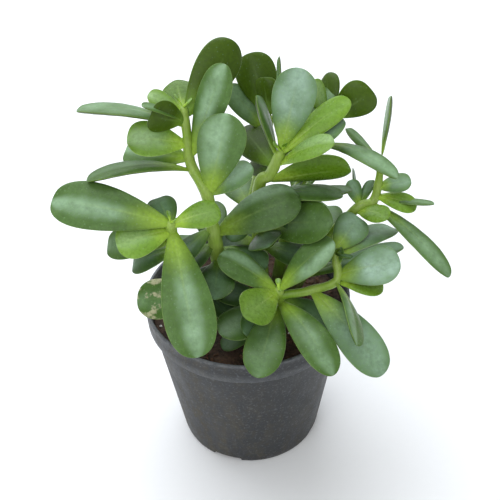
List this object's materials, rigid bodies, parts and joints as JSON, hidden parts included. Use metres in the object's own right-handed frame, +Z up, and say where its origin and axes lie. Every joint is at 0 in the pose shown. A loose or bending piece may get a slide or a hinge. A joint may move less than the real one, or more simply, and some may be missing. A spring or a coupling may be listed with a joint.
{
  "type": "potted jade plant",
  "caption": "Jade plant with thick obovate leaves in opposite pairs on branching green stems, in a tapered black nursery pot with a collar rim and drainage notches.",
  "frame": {"origin": "centre of the pot's flat base, on the surface it stands on", "axes": "+Z up along the pot's axis, -Y towards the front of the plant, +X to its right"},
  "size_m": [0.1871, 0.1221, 0.22],
  "materials": {
    "pot_plastic": "matte moulded black polypropylene, dusty and lightly scuffed",
    "potting_soil": "moist dark brown peat mix with fibres and white perlite grains",
    "stem_skin": "smooth green succulent stem, browner and corkier towards the soil",
    "leaf_skin": "waxy succulent leaf with a soft pale sheen, yellow-green near its base"
  },
  "bodies": {
    "root": {"pot": "pot_plastic", "soil": "potting_soil", "stem_left": "stem_skin", "leaf_left_1": "leaf_skin", "leaf_left_2": "leaf_skin", "leaf_left_3": "leaf_skin", "leaf_left_4": "leaf_skin", "leaf_left_5": "leaf_skin", "leaf_left_6": "leaf_skin", "leaf_left_7": "leaf_skin", "stem_tall": "stem_skin", "leaf_tall_1": "leaf_skin", "leaf_tall_2": "leaf_skin", "leaf_tall_3": "leaf_skin", "leaf_tall_4": "leaf_skin", "leaf_tall_5": "leaf_skin", "leaf_tall_6": "leaf_skin", "leaf_tall_7": "leaf_skin", "leaf_tall_8": "leaf_skin", "leaf_tall_9": "leaf_skin", "leaf_tall_10": "leaf_skin", "leaf_tall_11": "leaf_skin", "stem_centre": "stem_skin", "leaf_centre_1": "leaf_skin", "leaf_centre_2": "leaf_skin", "leaf_centre_3": "leaf_skin", "leaf_centre_4": "leaf_skin", "leaf_centre_5": "leaf_skin", "leaf_centre_6": "leaf_skin", "leaf_centre_7": "leaf_skin", "leaf_centre_8": "leaf_skin", "stem_back": "stem_skin", "leaf_back_1": "leaf_skin", "leaf_back_2": "leaf_skin", "stem_rear": "stem_skin", "leaf_rear_1": "leaf_skin", "leaf_rear_2": "leaf_skin", "stem_right": "stem_skin", "leaf_right_1": "leaf_skin", "leaf_right_2": "leaf_skin", "leaf_right_3": "leaf_skin", "leaf_right_4": "leaf_skin", "leaf_right_5": "leaf_skin", "leaf_right_6": "leaf_skin", "stem_front": "stem_skin", "leaf_front_1": "leaf_skin", "leaf_front_2": "leaf_skin", "leaf_front_3": "leaf_skin", "leaf_front_4": "leaf_skin", "leaf_front_5": "leaf_skin", "leaf_front_6": "leaf_skin", "leaf_front_7": "leaf_skin", "stem_shoot": "stem_skin", "leaf_shoot_1": "leaf_skin", "leaf_shoot_2": "leaf_skin", "leaf_shoot_3": "leaf_skin", "leaf_shoot_4": "leaf_skin", "leaf_shoot_5": "leaf_skin", "leaf_shoot_6": "leaf_skin"}
  },
  "joints": []
}
